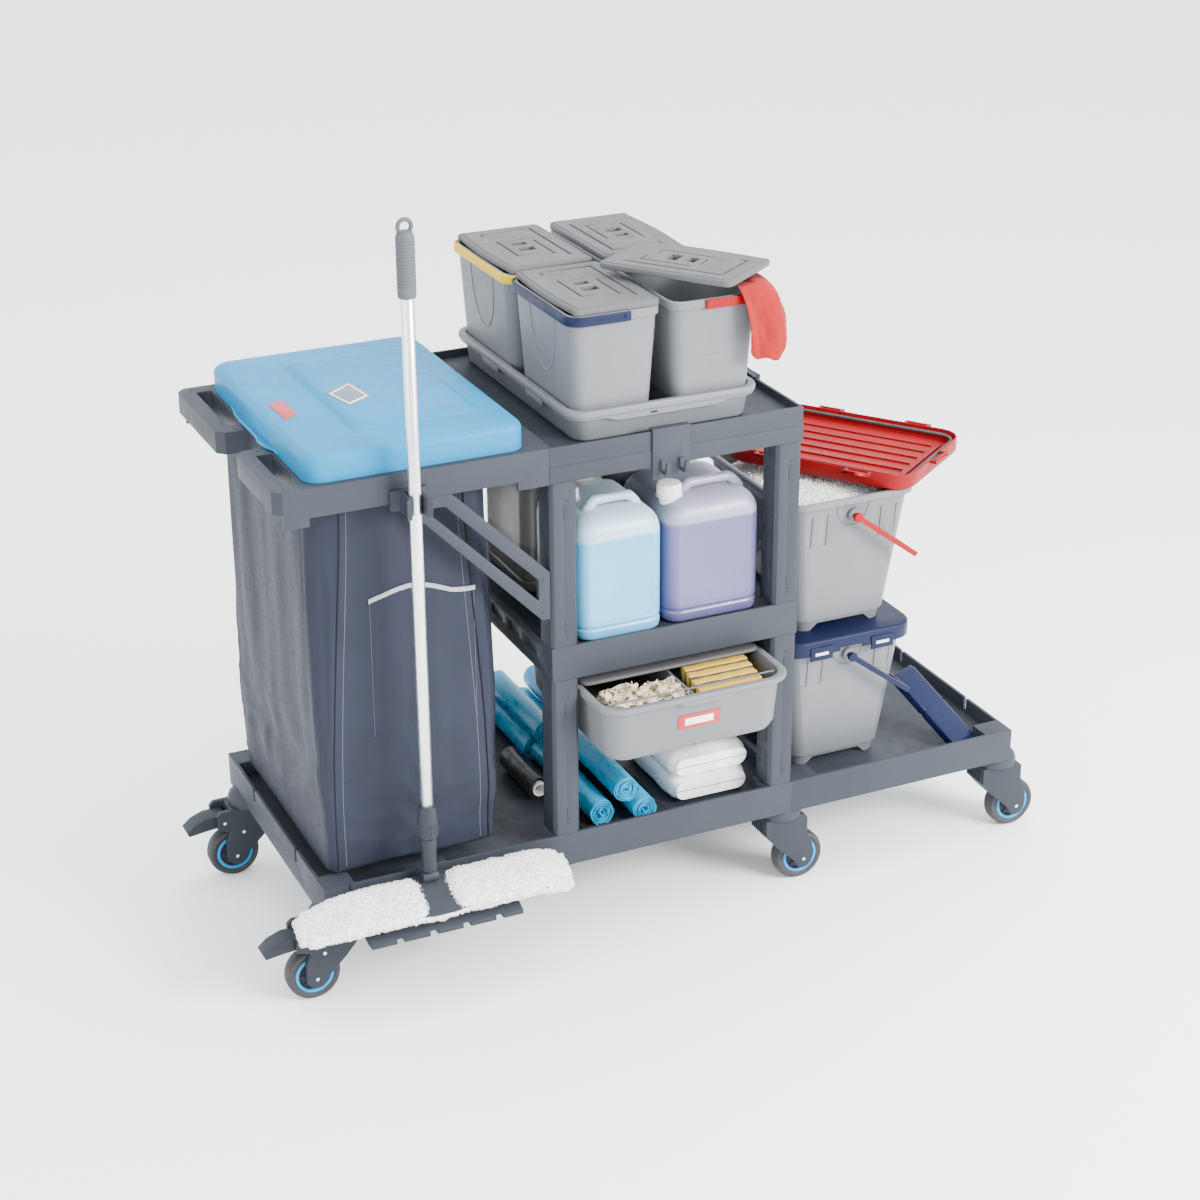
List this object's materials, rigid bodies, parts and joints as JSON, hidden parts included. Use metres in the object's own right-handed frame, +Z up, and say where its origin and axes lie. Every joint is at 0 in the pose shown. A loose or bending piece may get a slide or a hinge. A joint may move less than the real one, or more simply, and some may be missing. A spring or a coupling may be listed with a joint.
{
  "type": "housekeeping cart",
  "caption": "Moulded plastic housekeeping cart on swivel casters with a lidded waste bag, shelf tower, small and large buckets, a drawer and a flat mop parked in front",
  "frame": {"origin": "on the floor under the middle of the bounding box", "axes": "+Z up; +X from the push handles towards the low bucket tray; the drawer and mop face -Y"},
  "size_m": [1.616, 0.676, 1.424],
  "materials": {
    "frame_plastic": "fine grain moulded polypropylene, slate grey",
    "caster_plastic": "moulded polyamide, dark grey",
    "tyre_rubber": "smooth thermoplastic rubber",
    "bucket_plastic": "satin moulded polypropylene, light grey",
    "lid_plastic": "satin moulded polypropylene, mid grey",
    "lid_blue": "satin moulded polypropylene, sky blue",
    "bag_fabric": "coated woven polyester, slate blue",
    "plastic_yellow": "satin",
    "plastic_green": "satin",
    "plastic_navy": "satin",
    "plastic_red": "satin",
    "aluminium": "brushed anodised tube",
    "grip_plastic": "soft grip moulding",
    "mop_cotton": "looped cotton pile",
    "cloth_red": "microfibre terry"
  },
  "bodies": {
    "frame": {"bag_frame": "frame_plastic", "base_deck": "frame_plastic", "base_extension": "frame_plastic", "brace_front": "frame_plastic", "brace_rear": "frame_plastic", "hook_plate": "frame_plastic", "middle_shelf": "frame_plastic", "post_lower_front_left": "frame_plastic", "post_lower_front_right": "frame_plastic", "post_lower_rear_left": "frame_plastic", "post_lower_rear_right": "frame_plastic", "post_upper_front_left": "frame_plastic", "post_upper_front_right": "frame_plastic", "post_upper_rear_left": "frame_plastic", "post_upper_rear_right": "frame_plastic", "top_shelf": "frame_plastic", "mop_clip": "caster_plastic", "mop_rest": "caster_plastic", "bag": "bag_fabric"},
    "caster_front_left": {"caster_fork_front_left": "caster_plastic"},
    "wheel_front_left": {"wheel_front_left": "tyre_rubber"},
    "caster_front_middle": {"caster_fork_front_middle": "caster_plastic"},
    "wheel_front_middle": {"wheel_front_middle": "tyre_rubber"},
    "caster_front_right": {"caster_fork_front_right": "caster_plastic"},
    "wheel_front_right": {"wheel_front_right": "tyre_rubber"},
    "caster_rear_left": {"caster_fork_rear_left": "caster_plastic"},
    "wheel_rear_left": {"wheel_rear_left": "tyre_rubber"},
    "caster_rear_middle": {"caster_fork_rear_middle": "caster_plastic"},
    "wheel_rear_middle": {"wheel_rear_middle": "tyre_rubber"},
    "caster_rear_right": {"caster_fork_rear_right": "caster_plastic"},
    "wheel_rear_right": {"wheel_rear_right": "tyre_rubber"},
    "bag_lid": {"bag_lid": "lid_blue"},
    "drawer": {"drawer": "bucket_plastic"},
    "drawer_lid": {"drawer_lid": "lid_plastic"},
    "brake_pedal_front": {"brake_pedal_front": "caster_plastic"},
    "brake_pedal_rear": {"brake_pedal_rear": "caster_plastic"},
    "tray": {"bucket_tray": "bucket_plastic", "bucket_front_right": "bucket_plastic", "bucket_handle_front_right": "plastic_red", "red_cloth": "cloth_red"},
    "bucket_front_left": {"bucket_front_left": "bucket_plastic"},
    "lid_front_left": {"bucket_lid_front_left": "lid_plastic"},
    "handle_front_left": {"bucket_handle_front_left": "plastic_navy"},
    "bucket_rear_left": {"bucket_rear_left": "bucket_plastic"},
    "lid_rear_left": {"bucket_lid_rear_left": "lid_plastic"},
    "handle_rear_left": {"bucket_handle_rear_left": "plastic_yellow"},
    "bucket_rear_right": {"bucket_rear_right": "bucket_plastic"},
    "lid_rear_right": {"bucket_lid_rear_right": "lid_plastic"},
    "handle_rear_right": {"bucket_handle_rear_right": "plastic_green"},
    "loose_lid": {"bucket_lid_front_right": "lid_plastic"},
    "large_bucket_lower": {"large_bucket_lower": "bucket_plastic"},
    "large_lid_lower": {"large_lid_lower": "plastic_navy"},
    "large_handle_lower": {"large_handle_lower": "plastic_navy"},
    "large_bucket_upper": {"large_bucket_upper": "bucket_plastic"},
    "large_lid_upper": {"large_lid_upper": "plastic_red"},
    "large_handle_upper": {"large_handle_upper": "plastic_red"},
    "mop": {"mop_pole": "aluminium", "mop_grip": "grip_plastic"},
    "mop_head": {"mop_frame": "caster_plastic", "mop_pad": "mop_cotton"}
  },
  "joints": [
    {"name": "bag_lid_hinge", "type": "hinge", "parent": "frame", "child": "bag_lid", "pos_m": [-0.293, 0.05296, 0.9853], "axis": [0, 1, 0], "range_deg": [0, 88]},
    {"name": "drawer_slide", "type": "slide", "parent": "frame", "child": "drawer", "axis": [0, -1, 0], "range_m": [-0.105, 0.15]},
    {"name": "drawer_lid_slide", "type": "slide", "parent": "drawer", "child": "drawer_lid", "axis": [0, -1, 0], "range_m": [0, 0.11]},
    {"name": "swivel_front_left", "type": "hinge", "parent": "frame", "child": "caster_front_left", "pos_m": [-0.674, -0.18704, 0.1497], "axis": [0, 0, 1], "continuous": true},
    {"name": "swivel_front_middle", "type": "hinge", "parent": "frame", "child": "caster_front_middle", "pos_m": [0.228, -0.18704, 0.1497], "axis": [0, 0, 1], "continuous": true},
    {"name": "swivel_front_right", "type": "hinge", "parent": "frame", "child": "caster_front_right", "pos_m": [0.716, -0.18704, 0.1497], "axis": [0, 0, 1], "continuous": true},
    {"name": "swivel_rear_left", "type": "hinge", "parent": "frame", "child": "caster_rear_left", "pos_m": [-0.674, 0.29296, 0.1497], "axis": [0, 0, 1], "continuous": true},
    {"name": "swivel_rear_middle", "type": "hinge", "parent": "frame", "child": "caster_rear_middle", "pos_m": [0.228, 0.29296, 0.1497], "axis": [0, 0, 1], "continuous": true},
    {"name": "swivel_rear_right", "type": "hinge", "parent": "frame", "child": "caster_rear_right", "pos_m": [0.716, 0.29296, 0.1497], "axis": [0, 0, 1], "continuous": true},
    {"name": "roll_front_left", "type": "hinge", "parent": "caster_front_left", "child": "wheel_front_left", "pos_m": [-0.716, -0.18704, 0.05], "axis": [0, 1, 0], "continuous": true},
    {"name": "roll_front_middle", "type": "hinge", "parent": "caster_front_middle", "child": "wheel_front_middle", "pos_m": [0.27, -0.18704, 0.05], "axis": [0, 1, 0], "continuous": true},
    {"name": "roll_front_right", "type": "hinge", "parent": "caster_front_right", "child": "wheel_front_right", "pos_m": [0.758, -0.18704, 0.05], "axis": [0, 1, 0], "continuous": true},
    {"name": "roll_rear_left", "type": "hinge", "parent": "caster_rear_left", "child": "wheel_rear_left", "pos_m": [-0.716, 0.29296, 0.05], "axis": [0, 1, 0], "continuous": true},
    {"name": "roll_rear_middle", "type": "hinge", "parent": "caster_rear_middle", "child": "wheel_rear_middle", "pos_m": [0.27, 0.29296, 0.05], "axis": [0, 1, 0], "continuous": true},
    {"name": "roll_rear_right", "type": "hinge", "parent": "caster_rear_right", "child": "wheel_rear_right", "pos_m": [0.758, 0.29296, 0.05], "axis": [0, 1, 0], "continuous": true},
    {"name": "brake_front", "type": "hinge", "parent": "caster_front_left", "child": "brake_pedal_front", "pos_m": [-0.736, -0.18704, 0.126], "axis": [0, -1, 0], "range_deg": [0, 15]},
    {"name": "brake_rear", "type": "hinge", "parent": "caster_rear_left", "child": "brake_pedal_rear", "pos_m": [-0.736, 0.29296, 0.126], "axis": [0, -1, 0], "range_deg": [0, 15]},
    {"name": "tray_lift", "type": "slide", "parent": "frame", "child": "tray", "axis": [0, 0, 1], "range_m": [0, 0.2]},
    {"name": "handle_front_left", "type": "hinge", "parent": "bucket_front_left", "child": "handle_front_left", "pos_m": [-0.1028, -0.07704, 1.1913], "axis": [0, 1, 0], "range_deg": [0, 100]},
    {"name": "handle_rear_left", "type": "hinge", "parent": "bucket_rear_left", "child": "handle_rear_left", "pos_m": [-0.1028, 0.19576, 1.1913], "axis": [0, 1, 0], "range_deg": [0, 100]},
    {"name": "handle_rear_right", "type": "hinge", "parent": "bucket_rear_right", "child": "handle_rear_right", "pos_m": [0.0528, 0.19576, 1.1913], "axis": [0, -1, 0], "range_deg": [0, 100]},
    {"name": "bucket_lift_front_left", "type": "slide", "parent": "tray", "child": "bucket_front_left", "axis": [0, 0, 1], "range_m": [0, 0.26]},
    {"name": "bucket_lift_rear_left", "type": "slide", "parent": "tray", "child": "bucket_rear_left", "axis": [0, 0, 1], "range_m": [0, 0.26]},
    {"name": "bucket_lift_rear_right", "type": "slide", "parent": "tray", "child": "bucket_rear_right", "axis": [0, 0, 1], "range_m": [0, 0.26]},
    {"name": "lid_lift_front_left", "type": "slide", "parent": "bucket_front_left", "child": "lid_front_left", "axis": [0, 0, 1], "range_m": [0, 0.1]},
    {"name": "lid_lift_rear_left", "type": "slide", "parent": "bucket_rear_left", "child": "lid_rear_left", "axis": [0, 0, 1], "range_m": [0, 0.1]},
    {"name": "lid_lift_rear_right", "type": "slide", "parent": "bucket_rear_right", "child": "lid_rear_right", "axis": [0, 0, 1], "range_m": [0, 0.1]},
    {"name": "loose_lid_lift", "type": "slide", "parent": "lid_front_left", "child": "loose_lid", "axis": [0, 0, 1], "range_m": [0, 0.1]},
    {"name": "large_lift_lower", "type": "slide", "parent": "frame", "child": "large_bucket_lower", "axis": [0, 0, 1], "range_m": [0, 0.35]},
    {"name": "large_lid_lift_lower", "type": "slide", "parent": "large_bucket_lower", "child": "large_lid_lower", "axis": [0, 0, 1], "range_m": [0, 0.1]},
    {"name": "large_lift_upper", "type": "slide", "parent": "large_lid_lower", "child": "large_bucket_upper", "axis": [0, 0, 1], "range_m": [0, 0.35]},
    {"name": "large_lid_lift_upper", "type": "slide", "parent": "large_bucket_upper", "child": "large_lid_upper", "axis": [0, 0, 1], "range_m": [0, 0.1]},
    {"name": "large_handle_lower", "type": "hinge", "parent": "large_bucket_lower", "child": "large_handle_lower", "pos_m": [0.383, 0.01196, 0.4433], "axis": [0, -1, 0], "range_deg": [0, 72]},
    {"name": "large_handle_upper", "type": "hinge", "parent": "large_bucket_upper", "child": "large_handle_upper", "pos_m": [0.383, 0.01196, 0.7286], "axis": [0, -1, 0], "range_deg": [0, 45]},
    {"name": "mop_off", "type": "slide", "parent": "frame", "child": "mop", "axis": [0, -1, 0], "range_m": [0, 0.25]},
    {"name": "mop_head_tilt", "type": "hinge", "parent": "mop", "child": "mop_head", "pos_m": [-0.515, -0.26604, 0.238], "axis": [-1, 0, 0], "range_deg": [0, 60]}
  ]
}
